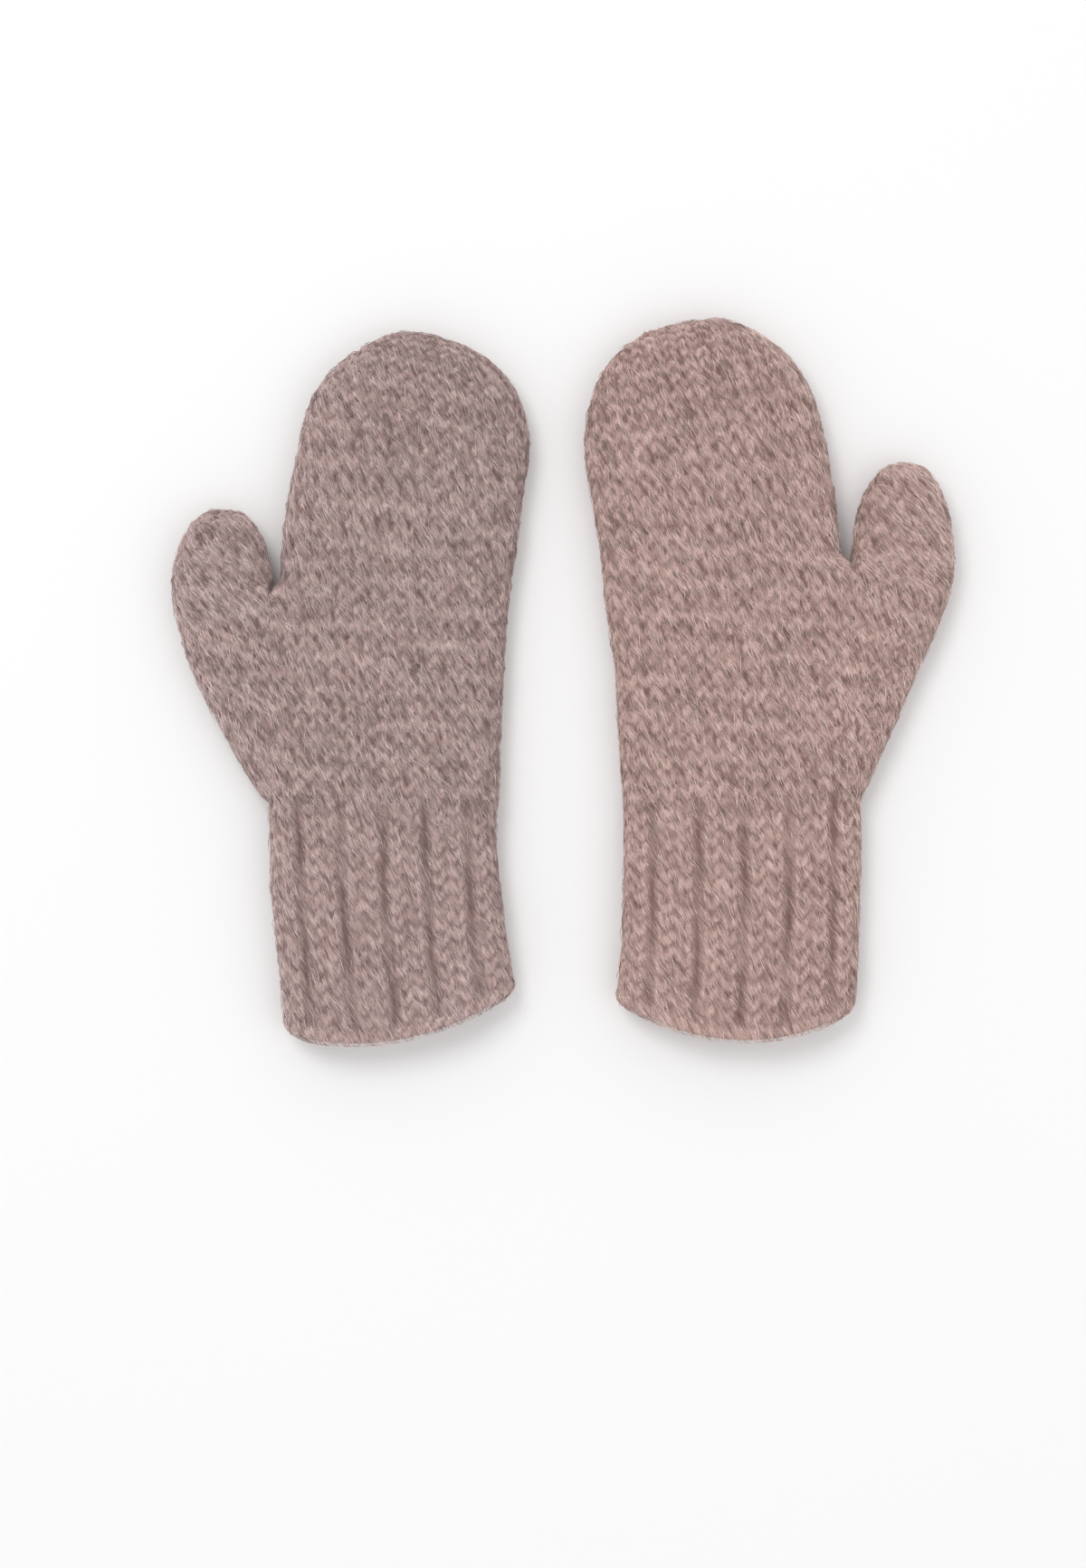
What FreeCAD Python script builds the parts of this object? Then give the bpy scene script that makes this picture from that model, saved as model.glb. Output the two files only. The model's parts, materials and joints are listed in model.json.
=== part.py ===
"""A pair of hand-knitted mittens, laid flat with the palms up and the thumbs pointing outwards.

Each mitten is worked from the cuff to the tip: a cast-on edge, a ribbed cuff, a stocking-stitch
palm with a thumb gusset, a finger pocket, a crown that is drawn closed, and a thumb worked from a
picked-up round. Every section is a hollow shell of knitting, and the yarn's ends are woven in
on the inside. Millimetres, +Z up, the table at Z = 0, the fingertips towards +Y.
"""
import FreeCAD, Part
import math
import os

V = FreeCAD.Vector

# Driving dimensions of the fabric.
THICKNESS = 18.0        # a mitten lying relaxed on its back, over the nap
FABRIC = 3.8            # one layer of knitting
FOLD_ROUND = 8.4        # the side folds of the flattened tube, outside
LINING_ROUND = 4.6      # the same folds, inside
YARN = 3.0              # diameter of the yarn

# Levels along a mitten, measured from its hem.
WRIST = 92.0            # the ribbing ends and the palm begins
CAST_ON = 5.0           # depth of the cast-on edge
GATHER = 7.0            # depth of the stitches drawn closed at the fingertips
THUMB_ROUND = 5.0       # depth of the round picked up for the thumb
THUMB_GATHER = 7.0      # depth of the stitches drawn closed at the thumb's tip
FOLD_GAP = 0.4          # half of the slit between two sections that fold against each other
THUMB_SPREAD = 12.0     # degrees, how far the thumb's base points away from the hand
GUSSET_SEAM = 3.0       # how far inside the hand's outline the gusset begins

# The two mittens. They were made by hand, so they differ by a few millimetres.
# place: the middle of the hem. lean: degrees, fingertips towards the other mitten.
# bow: how far the hand's middle line bends towards the thumb. shoulder: where the crown begins.
# hem: height of the hem on the thumb's side, at its lowest, and on the little finger's side.
MITTENS = {
    "left": {
        "side": -1, "place": (-62.48, -137.08), "lean": 1.4, "half_width": 44.0, "bow": 8.6,
        "shoulder": 222.0, "crown": 48.0, "knuckles": 187.0, "hem": (2.5, -0.5, 20.0),
        "thumb_at": (72.0, 169.4), "thumb_half": 19.2, "thumb_top": 32.0, "thumb_lean": -1.0,
        "belly": 21.0,
    },
    "right": {
        "side": 1, "place": (66.32, -137.08), "lean": 3.2, "half_width": 45.5, "bow": 7.3,
        "shoulder": 226.0, "crown": 49.5, "knuckles": 193.0, "hem": (9.0, 0.0, 17.5),
        "thumb_at": (73.5, 178.0), "thumb_half": 19.8, "thumb_top": 39.0, "thumb_lean": 3.0,
        "belly": 13.0,
    },
}


def hand_face(m, inset):
    """The hand's outline from below the hem to the fingertips, as two bowed sides and a round tip."""
    half_chord = m["shoulder"] / 2
    radius = (half_chord ** 2 + m["bow"] ** 2) / (2 * m["bow"])
    middle = V(m["bow"] - radius, half_chord, 0)
    turn = math.asin(half_chord / radius)
    below_hem = turn + 20.0 / radius

    def on_side(side_radius, angle):
        return middle + V(side_radius * math.cos(angle), side_radius * math.sin(angle), 0)

    outer = radius + m["half_width"] - inset
    inner = radius - m["half_width"] + inset
    along = V(-math.sin(turn), math.cos(turn), 0)
    shoulder = on_side(radius, turn)
    tip = shoulder + along * (m["crown"] - inset)
    thumb_side = Part.Arc(on_side(outer, -below_hem), on_side(outer, 0), on_side(outer, turn))
    little_side = Part.Arc(on_side(inner, turn), on_side(inner, 0), on_side(inner, -below_hem))
    oval = Part.Ellipse(tip, on_side(inner, turn), shoulder)
    crown = Part.ArcOfEllipse(oval, -math.pi / 2, math.pi / 2)
    hem = Part.LineSegment(on_side(inner, -below_hem), on_side(outer, -below_hem))
    edges = [part.toShape() for part in (thumb_side, crown, little_side, hem)]
    return Part.Face(Part.Wire(Part.__sortEdges__(edges)))


def thumb_face(m, inset):
    """The gusset and the thumb in one outline, whose inner corners lie inside the hand."""
    base = V(*m["thumb_at"], 0)
    lean = math.radians(m["thumb_lean"])
    along = V(math.sin(lean), math.cos(lean), 0)
    across = V(math.cos(lean), -math.sin(lean), 0)
    outer = base + across * (m["thumb_half"] - inset)
    crotch = base - across * (m["thumb_half"] - inset)
    wrist = V(m["bow"] + m["half_width"] - 1.0, WRIST - 4.0, 0)
    start = wrist + V(-inset, inset / 2, 0)
    bulge = wrist + V(m["belly"] - inset * 0.85, 26.0 + inset / 2, 0)
    side = Part.BezierCurve()
    side.setPoles([outer, outer - along * 30.0, bulge, start])
    oval = Part.Ellipse(base + along * (m["thumb_top"] - inset), crotch, base)
    tip = Part.ArcOfEllipse(oval, -math.pi / 2, math.pi / 2)
    in_hand = [crotch + V(-22.0, -14.0, 0), V(25.0 + inset, 150.0, 0), V(25.0 + inset, start.y, 0)]
    corners = [crotch] + in_hand + [start]
    edges = [side.toShape(), tip.toShape()]
    for one, other in zip(corners, corners[1:]):
        edges.append(Part.LineSegment(one, other).toShape())
    return Part.Face(Part.Wire(Part.__sortEdges__(edges)))


def pillow(face, low, high, radius, is_rounded):
    """A flat slab on an outline, with round folds along the edges that the test picks."""
    slab = face.extrude(V(0, 0, high - low))
    slab.translate(V(0, 0, low))
    folds = []
    for edge in slab.Edges:
        box = edge.BoundBox
        if box.ZLength < 0.01 and is_rounded(edge):
            folds.append(edge)
    return slab.makeFillet(radius, folds)


def band(low, high):
    """All the space between two levels of a mitten."""
    return Part.makeBox(400, high - low, THICKNESS + 20, V(-200, low, -10))


def hem_cutter(m, depth):
    """The space inside the hem's curve, taken in by a depth along the mitten."""
    thumb_end, lowest, little_end = (height + depth for height in m["hem"])
    half = m["half_width"]
    hem = Part.Arc(V(half, thumb_end, 0), V(5.0, lowest, 0), V(-half, little_end, 0)).toShape().Curve
    below = V(0, 0, -10)
    disc = Part.makeCylinder(hem.Radius, THICKNESS + 20, hem.Center + below)
    side = hem.Center - V(hem.Radius, 0, 0)
    above = Part.makeBox(2 * hem.Radius, 600, THICKNESS + 20, side + below)
    return disc.fuse(above)


def crotch_point(m):
    """Where the hand's outline and the thumb's outline meet."""
    base = V(*m["thumb_at"], 0)
    return base + V(-m["thumb_half"] - 1.5, -0.5, 0)


def beyond_thumb_fold(m, start):
    """All the space past the line that the thumb folds on, from a distance past it."""
    block = Part.makeBox(120, 90, THICKNESS + 20, V(-40, start, -10))
    block.rotate(V(0, 0, 0), V(0, 0, 1), -THUMB_SPREAD)
    block.translate(crotch_point(m))
    return block


def is_hand_fold(edge):
    """Every edge of the hand's slab but the straight one below the hem."""
    return not isinstance(edge.Curve, (Part.Line, Part.LineSegment))


def thumb_fold_test(m):
    """The thumb's folds are the gusset's side, the tip and the short line into the crotch."""
    def is_thumb_fold(edge):
        straight = isinstance(edge.Curve, (Part.Line, Part.LineSegment))
        return not straight or edge.BoundBox.XMax > m["thumb_at"][0] - m["thumb_half"] - 0.5
    return is_thumb_fold


def knitted_shell(m):
    """The whole mitten as one hollow shell, before it is divided into its sections."""
    hand = pillow(hand_face(m, 0), 0, THICKNESS, FOLD_ROUND, is_hand_fold)
    thumb = pillow(thumb_face(m, 0), 0, THICKNESS, FOLD_ROUND, thumb_fold_test(m))
    low, high = FABRIC, THICKNESS - FABRIC
    hand_inside = pillow(hand_face(m, FABRIC), low, high, LINING_ROUND, is_hand_fold)
    thumb_inside = pillow(thumb_face(m, FABRIC), low, high, LINING_ROUND, thumb_fold_test(m))
    return hand.fuse(thumb).cut(hand_inside.fuse(thumb_inside))


def beside_hand(m, offset):
    """The space on the thumb's side of the hand, from a distance outside the hand's outline."""
    half_chord = m["shoulder"] / 2
    radius = (half_chord ** 2 + m["bow"] ** 2) / (2 * m["bow"])
    middle = V(m["bow"] - radius, half_chord, -10)
    disc = Part.makeCylinder(radius + m["half_width"] + offset, THICKNESS + 20, middle)
    return Part.makeBox(130, 200, THICKNESS + 20, V(20, WRIST - 20, -10)).cut(disc)


def hand_sections(m, shell):
    """The cast-on edge, cuff, palm, finger pocket, crown and closed tip, from the hem up."""
    hem, cuff = hem_cutter(m, 0), hem_cutter(m, CAST_ON)
    gusset_zone = beside_hand(m, -GUSSET_SEAM).cut(beyond_thumb_fold(m, -FOLD_GAP))
    thumb_zone = beside_hand(m, 2 * FOLD_GAP)
    fingers = shell.common(band(m["knuckles"] + FOLD_GAP, 400)).cut(thumb_zone)
    turn = math.degrees(math.asin(4 * m["bow"] / m["shoulder"]))
    gathered = band(m["crown"] - GATHER, m["crown"] + 50)
    gathered.rotate(V(0, 0, 0), V(0, 0, 1), turn)
    gathered.translate(V(0, m["shoulder"], 0))
    crown = fingers.common(band(m["shoulder"], 400))
    palm = shell.common(band(WRIST + FOLD_GAP, m["knuckles"] - FOLD_GAP))
    return {
        "cast_on_edge": shell.common(hem).cut(cuff),
        "ribbed_cuff": shell.common(cuff).common(band(-60, WRIST - FOLD_GAP)),
        "palm": palm.cut(gusset_zone).cut(thumb_zone),
        "finger_pocket": fingers.common(band(m["knuckles"], m["shoulder"])),
        "crown": crown.cut(gathered),
        "crown_gather": crown.common(gathered),
    }


def thumb_sections(m, shell):
    """The gusset beside the palm, then the thumb past its fold: picked-up round, tube, closed tip."""
    beside_palm = shell.common(band(WRIST + FOLD_GAP, 400)).common(beside_hand(m, -GUSSET_SEAM))
    thumb = shell.common(beside_hand(m, 2 * FOLD_GAP)).common(beyond_thumb_fold(m, FOLD_GAP))
    tube_start = beyond_thumb_fold(m, FOLD_GAP + THUMB_ROUND)
    gathered = band(m["thumb_at"][1] + m["thumb_top"] - THUMB_GATHER, 400)
    return {
        "thumb_gusset": beside_palm.cut(beyond_thumb_fold(m, -FOLD_GAP)),
        "thumb_picked_up_round": thumb.cut(tube_start),
        "thumb_tube": thumb.common(tube_start).cut(gathered),
        "thumb_gather": thumb.common(gathered),
    }


def woven_end(path):
    """A length of yarn lying on the lining along a path in the plane Z = 0."""
    edge = path.toShape()
    start = edge.valueAt(edge.FirstParameter)
    direction = edge.tangentAt(edge.FirstParameter)
    yarn = Part.Face(Part.Wire([Part.Circle(start, direction, YARN / 2).toShape()]))
    tube = Part.Wire([edge]).makePipe(yarn)
    tube.translate(V(0, 0, FABRIC + YARN / 2 + 0.1))
    return tube


def yarn_ends(m):
    """The four ends woven in: at the cast-on, the crown, the thumb's pick-up and the thumb's tip."""
    half_chord = m["shoulder"] / 2
    bow_radius = (half_chord ** 2 + m["bow"] ** 2) / (2 * m["bow"])
    middle = V(m["bow"] - bow_radius, half_chord, 0)
    little_side = Part.Circle(middle, V(0, 0, 1), bow_radius - m["half_width"] + FABRIC + 4.8)
    low = math.asin((30.0 - half_chord) / little_side.Radius)
    high = math.asin((82.0 - half_chord) / little_side.Radius)
    turn = math.asin(half_chord / bow_radius)
    tip_axis = V(-math.sin(turn), math.cos(turn), 0)
    side_axis = V(-math.cos(turn), -math.sin(turn), 0)
    shoulder = V(0, m["shoulder"], 0)
    room = FABRIC + 5.5
    oval = Part.Ellipse(shoulder + tip_axis * (m["crown"] - room - GATHER / 2),
                        shoulder + side_axis * (m["half_width"] - room), shoulder)
    crotch = crotch_point(m)
    thumb = V(m["thumb_at"][0] + m["thumb_half"] - FABRIC - 5.5, m["thumb_at"][1], 0)
    return {
        "cast_on_yarn_end": woven_end(Part.Arc(little_side, low, high)),
        "crown_yarn_end": woven_end(Part.ArcOfEllipse(oval, 0.25, 1.35)),
        "pick_up_yarn_end": woven_end(Part.LineSegment(crotch + V(4, -8, 0), crotch + V(4.5, -44, 0))),
        "thumb_yarn_end": woven_end(Part.LineSegment(thumb + V(-2.0, 2, 0), thumb + V(-4.0, 20, 0))),
    }


def largest(shape):
    """The one solid of a section, without the crumbs a cut may leave beside it."""
    return max(shape.Solids, key=lambda solid: solid.Volume)


def placed(shape, m):
    """A section moved from its mitten's own frame to its place in the pair."""
    if m["side"] < 0:
        shape = shape.mirror(V(0, 0, 0), V(1, 0, 0))
    shape.rotate(V(0, 0, 0), V(0, 0, 1), m["side"] * m["lean"])
    shape.translate(V(*m["place"], 0))
    return shape


def mitten(m):
    """All the sections of one mitten, by name, in their place in the pair."""
    shell = knitted_shell(m)
    sections = hand_sections(m, shell) | thumb_sections(m, shell) | yarn_ends(m)
    return {name: placed(largest(shape), m) for name, shape in sections.items()}


def build():
    """Both mittens, one STEP file for each section."""
    os.makedirs("parts", exist_ok=True)
    pair = []
    for hand, m in MITTENS.items():
        for name, shape in mitten(m).items():
            shape.exportStep(f"parts/{hand}_{name}.step")
            pair.append(shape)
            print(f"{hand}_{name}: {len(shape.Solids)} solid, {shape.Volume / 1000:.2f} cm3")
    box = Part.makeCompound(pair).optimalBoundingBox(False, False)
    print(f"pair {box.XLength:.1f} x {box.YLength:.1f} x {box.ZLength:.1f} mm,"
          f" middle {box.Center.x:.2f}, {box.Center.y:.2f}, base {box.ZMin:.2f}")


build()
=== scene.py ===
# %% [markdown]
# # A pair of hand-knitted mittens, laid flat
# The pair is knitted from thick, brushed, dusty-rose yarn. Each mitten is a hollow tube of
# stitches: a ribbed cuff, a palm with a thumb gusset, a finger pocket, a crown and a thumb.
# The CAD parts are smooth shells, so here every section is made again with raised stitches
# and a fuzzy nap, in the same place. The frame says where each body and each joint is.
# %% Load the frame
import math
import bpy
import numpy as np
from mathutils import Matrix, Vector
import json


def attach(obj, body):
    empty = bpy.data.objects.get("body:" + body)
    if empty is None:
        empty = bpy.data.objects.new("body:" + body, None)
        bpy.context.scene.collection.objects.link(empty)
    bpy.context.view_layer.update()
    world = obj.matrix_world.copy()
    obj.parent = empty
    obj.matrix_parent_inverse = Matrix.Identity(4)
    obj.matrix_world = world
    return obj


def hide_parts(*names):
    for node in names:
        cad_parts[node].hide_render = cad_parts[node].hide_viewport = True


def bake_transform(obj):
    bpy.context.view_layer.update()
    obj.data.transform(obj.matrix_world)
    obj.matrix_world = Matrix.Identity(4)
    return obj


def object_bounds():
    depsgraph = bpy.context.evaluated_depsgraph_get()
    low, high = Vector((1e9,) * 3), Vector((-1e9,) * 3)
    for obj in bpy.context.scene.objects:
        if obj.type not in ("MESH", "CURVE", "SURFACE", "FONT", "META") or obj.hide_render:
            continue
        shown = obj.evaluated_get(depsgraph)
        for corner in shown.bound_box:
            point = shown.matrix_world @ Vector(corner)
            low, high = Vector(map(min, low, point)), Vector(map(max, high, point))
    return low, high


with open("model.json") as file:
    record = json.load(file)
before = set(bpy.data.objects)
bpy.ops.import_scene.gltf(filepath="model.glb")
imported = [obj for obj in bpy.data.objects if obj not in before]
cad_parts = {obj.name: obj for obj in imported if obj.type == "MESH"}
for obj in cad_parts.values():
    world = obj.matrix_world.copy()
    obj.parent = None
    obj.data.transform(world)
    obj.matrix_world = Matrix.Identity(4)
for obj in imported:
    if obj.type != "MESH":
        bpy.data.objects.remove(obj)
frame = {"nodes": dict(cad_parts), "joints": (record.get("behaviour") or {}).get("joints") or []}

cad_low, cad_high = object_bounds()
pair_middle = (cad_low + cad_high) / 2
joints = {joint["name"]: joint for joint in frame["joints"]}
print("CAD box:", [round(1000 * side, 1) for side in cad_high - cad_low], "mm")

# %% [markdown]
# ## The camera
# The pair is seen from straight above, as a shop lays clothes out. The camera is made early,
# so that every other step can be looked at. The picture is upright and about twice as tall as
# the pair, and its middle lies a little below the pair's middle. Its sizes are in metres.
# %% Camera above the pair
PICTURE_HEIGHT = 0.598
PICTURE_SHIFT = Vector((-0.0076, -0.0397, 0.0))
LENS = 85.0
SENSOR = 36.0

camera_data = bpy.data.cameras.new("overhead_camera")
camera_data.lens = LENS
camera_data.sensor_width = SENSOR
camera = bpy.data.objects.new("overhead_camera", camera_data)
bpy.context.scene.collection.objects.link(camera)
bpy.context.scene.camera = camera
camera_height = PICTURE_HEIGHT * LENS / SENSOR
camera.location = pair_middle + PICTURE_SHIFT + Vector((0.0, 0.0, camera_height))
camera.rotation_euler = (0.0, 0.0, 0.0)
print(f"camera {camera_height:.3f} m above the pair")

# %% [markdown]
# ## The sizes of one mitten
# A mitten is easiest to describe in its own frame: the middle of the hem is the origin, +y
# runs to the fingertips and the thumb is on +x. Its wrist joint tells where that frame lies
# in the pair, because the joint is on the middle line at the wrist and its axis runs straight
# across. The numbers below are millimetres. They are the sizes of the CAD's shells, but for a
# straighter side of the gusset, round corners at the hem and a little room for the nap.
# %% Driving sizes
MM = 0.001
WRIST = 92.0             # height of the cuff's fold
THICKNESS = 18.0
ROW = 6.1                # height of one stitch
WALE = 6.2               # width of one stitch
SIDE_ROOM = 1.3          # room at the sides for the stitches' peaks and the nap
HEM_CORNER = 4.0         # rounding of the hem's two corners
CROTCH_INSET = (1.5, 3.0)    # from the thumb's inner base towards the hand, and down
THUMB_SPREAD = math.radians(12.0)    # slope of the fold at the base of the thumb
SEAM_INSET = 8.0         # the gusset starts this far inside the hand's side
GUSSET_START = (-1.0, -4.0)    # where its side starts, from the hand's side at the wrist
GUSSET_RISE = 26.0       # height over which its side swells most
HEM_LOWEST = 5.0         # the hem is lowest this far from the middle, on the thumb's side
GUSSET_BEND = 14.0       # length of the stretch where the gusset's side turns into the thumb's

# side: -1 is the left mitten. bow: how far the middle line bows. shoulder: where the crown
# starts. crown: its height. hem: its heights at the thumb's side, near the middle and at the
# little finger's side. thumb_at: middle of the thumb's base. thumb_lean: in degrees.
# belly: how far the gusset swells. rib: width of one valley with two columns of stitches.
MITTENS = {
    "left": {
        "side": -1, "half_width": 44.0, "bow": 8.6, "shoulder": 222.0, "crown": 48.0,
        "knuckles": 187.0, "hem": (2.5, -0.5, 20.0), "thumb_at": (72.0, 169.4),
        "thumb_half": 19.2, "thumb_top": 32.0, "thumb_lean": -1.0, "belly": 21.0, "rib": 16.0,
    },
    "right": {
        "side": 1, "half_width": 45.5, "bow": 7.3, "shoulder": 226.0, "crown": 49.5,
        "knuckles": 193.0, "hem": (9.0, 0.0, 17.5), "thumb_at": (73.5, 178.0),
        "thumb_half": 19.8, "thumb_top": 39.0, "thumb_lean": 3.0, "belly": 13.0, "rib": 17.2,
    },
}


def set_place(hand, m):
    """Adds the mitten's place in the pair, from its wrist joint, and makes room for its nap."""
    fold = joints[f"{hand}_wrist_fold"]
    axis = Vector(fold["axis"])
    m["up"] = np.array([axis.y, -axis.x])
    m["out"] = m["side"] * np.array([m["up"][1], -m["up"][0]])
    m["origin"] = np.array(fold["pos_m"][:2]) / MM - WRIST * m["up"]
    for size in ("half_width", "crown", "thumb_half", "thumb_top"):
        m[size] -= SIDE_ROOM


for hand, m in MITTENS.items():
    set_place(hand, m)
    print(hand, "hem middle at", np.round(m["origin"], 1), "mm")


def to_pair(m, points):
    """Points of a mitten, millimetres in its own frame, as metres in the pair's frame."""
    points = np.asarray(points, float)
    flat = points[..., :1] * m["out"] + points[..., 1:2] * m["up"] + m["origin"]
    return np.concatenate([flat, points[..., 2:3]], axis=-1) * MM


# %% [markdown]
# ## The outline
# The hand's two sides are arcs about one centre, because the mitten bows a little towards its
# thumb. The crown is half an ellipse. The gusset's outer side is one smooth curve from the
# wrist to the thumb, and the thumb is half an ellipse too. Rows of knitting run from one side
# to the other, so all that a row needs is its two end points.
# %% Sides of the hand
def directions(lean):
    """Directions along and across a part that leans to the thumb's side by an angle."""
    return (np.array([math.sin(lean), math.cos(lean)]),
            np.array([math.cos(lean), -math.sin(lean)]))


def bow_circle(m):
    """Centre and radius of the hand's middle line, and its angle at the shoulder."""
    half_chord = m["shoulder"] / 2
    radius = (half_chord ** 2 + m["bow"] ** 2) / (2 * m["bow"])
    return np.array([m["bow"] - radius, half_chord]), radius, math.asin(half_chord / radius)


def hand_side(m, side, y):
    """Point of the hand's outline at height y: side +1 is the thumb's, -1 the little finger's."""
    centre, radius, _ = bow_circle(m)
    reach = radius + side * m["half_width"]
    y = np.asarray(y, float)
    return np.stack([centre[0] + np.sqrt(reach ** 2 - (y - centre[1]) ** 2), y], axis=-1)


def tip_side(base, half_width, height, lean, side, turn):
    """Point of a round tip's outline: turn 0 is at the base and a quarter turn is the top."""
    along, across = directions(lean)
    turn = np.asarray(turn, float)[..., None]
    wide = side * half_width * np.cos(turn) * across
    return np.array(base) + wide + height * np.sin(turn) * along


def crown_side(m, side, turn):
    """Point of the crown's outline."""
    base = (0.0, m["shoulder"])
    return tip_side(base, m["half_width"], m["crown"], -bow_circle(m)[2], side, turn)


def thumb_side(m, side, turn):
    """Point of the thumb's outline."""
    lean = math.radians(m["thumb_lean"])
    return tip_side(m["thumb_at"], m["thumb_half"], m["thumb_top"], lean, side, turn)


def gusset_side(m, y):
    """Point of the gusset's outer side at height y, on one cubic curve."""
    top = thumb_side(m, 1, 0.0)
    bend = top - GUSSET_BEND * directions(math.radians(m["thumb_lean"]))[0]
    wrist = np.array([m["bow"] + m["half_width"], WRIST]) + GUSSET_START
    belly = wrist + np.array([m["belly"], GUSSET_RISE])
    t = np.linspace(0.0, 1.0, 200)[:, None]
    curve = ((1 - t) ** 3 * wrist + 3 * t * (1 - t) ** 2 * belly
             + 3 * t ** 2 * (1 - t) * bend + t ** 3 * top)
    y = np.asarray(y, float)
    return np.stack([np.interp(y, curve[:, 1], curve[:, 0]), y], axis=-1)


# %% [markdown]
# ## One section through a soft tube
# A knitted tube that lies flat is a soft pillow in section: round where the fabric folds,
# nearly flat below, and slightly domed on top. A superellipse gives that shape with one
# formula. Its points are then spread evenly along the curve, because stitches are all the
# same width wherever they sit.
# %% Pillow section
SAMPLES = 480            # points round one section
QUARTER = SAMPLES // 4
ROUNDEST = 2.2           # power of the superellipse: 2 is an ellipse, and more is squarer
SQUAREST = 4.6
WIDE_FOR_SQUARE = 9.0    # half width for each unit of the power
FLATTER_BELOW = 3.0      # the underside's power is this much more


def pillow(half_width, half_height):
    """Closed sections, one row each: x, z and the running length round the section.

    A section starts at the middle of the underside, goes up the little finger's side, over
    the top to the thumb's side, and back underneath.
    """
    angle = np.linspace(-0.5 * math.pi, 1.5 * math.pi, SAMPLES + 1)
    across, lift = -np.cos(angle), np.sin(angle)
    half_width = np.asarray(half_width, float)[:, None]
    half_height = np.reshape(half_height, (-1, 1)) * np.ones_like(half_width)
    squareness = np.clip(half_width / WIDE_FOR_SQUARE, ROUNDEST, SQUAREST)
    power = np.where(lift[None] > 0, squareness, squareness + FLATTER_BELOW)
    x = half_width * np.sign(across) * np.abs(across) ** (2.0 / power)
    z = half_height * np.sign(lift) * np.abs(lift) ** (2.0 / ROUNDEST)
    step = np.hypot(np.diff(x, axis=1), np.diff(z, axis=1))
    run = np.concatenate([np.zeros((len(x), 1)), np.cumsum(step, axis=1)], axis=1)
    return x, z, run


def spread(section, first, last, count):
    """count points at even steps round each section, from running length first to last."""
    x, z, run = section
    share = np.linspace(0.0, 1.0, count)[None]
    wanted = first[:, None] + (last - first)[:, None] * share
    inside = np.mod(wanted, run[:, -1:] + 1e-9)
    new_x = np.array([np.interp(w, r, row) for w, r, row in zip(inside, run, x)])
    new_z = np.array([np.interp(w, r, row) for w, r, row in zip(inside, run, z)])
    return new_x, new_z, wanted


def length_at(section, place, low, high):
    """Running length at x = place, between two corners of the section."""
    x, _, run = section
    part = slice(low * QUARTER, high * QUARTER + 1)
    order = 1 if low < 3 else -1
    return np.array([np.interp(p, row[part][::order], r[part][::order])
                     for p, row, r in zip(place, x, run)])


def stand(low_side, high_side, x, z):
    """Sections stood up on the lines between the rows' two end points."""
    middle = (low_side + high_side) / 2
    across = high_side - low_side
    across = across / np.maximum(np.linalg.norm(across, axis=1, keepdims=True), 1e-6)
    flat = middle[:, None] + x[..., None] * across[:, None]
    lift = THICKNESS / 2 + z[..., None]
    return np.concatenate([flat, lift], axis=-1)


print(f"round the hand: {pillow([45.0], [8.3])[2][0, -1]:.0f} mm of fabric")

# %% [markdown]
# ## The rows of a mitten
# The rows are laid out level by level. In the cuff they follow the curved hem and straighten
# towards the wrist. Beside the palm, the rows are wider by the gusset, and the gusset's share
# of each row tilts until it lies along the fold at the base of the thumb. Above the crotch,
# the palm's share closes into a tube for the fingers, and the gusset's share into the thumb.
# A short bridge of new points closes each of them where they part.
# %% Levels and ends of rows
GRID = 0.85              # distance between the points of a grid
PEAK_ROOM = 0.7          # the fabric's base lies this far inside the CAD's upper and lower face
HAND_COLUMNS = 224
GUSSET_COLUMNS = 124
BRIDGE_COLUMNS = 26
BRIDGE_REACH = 4.0       # a bridge starts this far in from the fold of its tube
CROWN_ROWS = 1.45        # rows of the crown for each grid step of its height
THUMB_ROWS = 1.5         # and of the thumb
CROTCH_BLEND = 9.0       # height over which a bridge rounds out
HALF = THICKNESS / 2 - PEAK_ROOM


def smooth(low, high, value):
    """0 below low, 1 above high, and a soft step between them."""
    t = np.clip((value - low) / (high - low), 0.0, 1.0)
    return t * t * (3.0 - 2.0 * t)


def hem_height(m, x):
    """Height of the hem's curve at x, a parabola through the hem's three heights."""
    thumb_end, lowest, little_end = m["hem"]
    right, middle, left = m["half_width"], HEM_LOWEST, -m["half_width"]
    first = (lowest - thumb_end) / (middle - right)
    second = (little_end - lowest) / (left - middle)
    bend = (second - first) / (left - right)
    return thumb_end + first * (x - right) + bend * (x - right) * (x - middle)


def levels(low, high):
    """Heights from low to high at about the grid's spacing."""
    return np.linspace(low, high, int(round((high - low) / GRID)) + 1)


def running_length(path):
    """Length along a path up to each of its points."""
    return np.concatenate([[0.0], np.cumsum(np.linalg.norm(np.diff(path, axis=0), axis=1))])


def along_rows(height, points):
    """One height for each row, repeated along the row."""
    return np.repeat(height[:, None], points.shape[1], axis=1)


def crotch(m):
    """Where the thumb's outline leaves the hand's."""
    return np.array([m["thumb_at"][0] - m["thumb_half"] - CROTCH_INSET[0],
                     m["thumb_at"][1] - CROTCH_INSET[1]])


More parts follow.
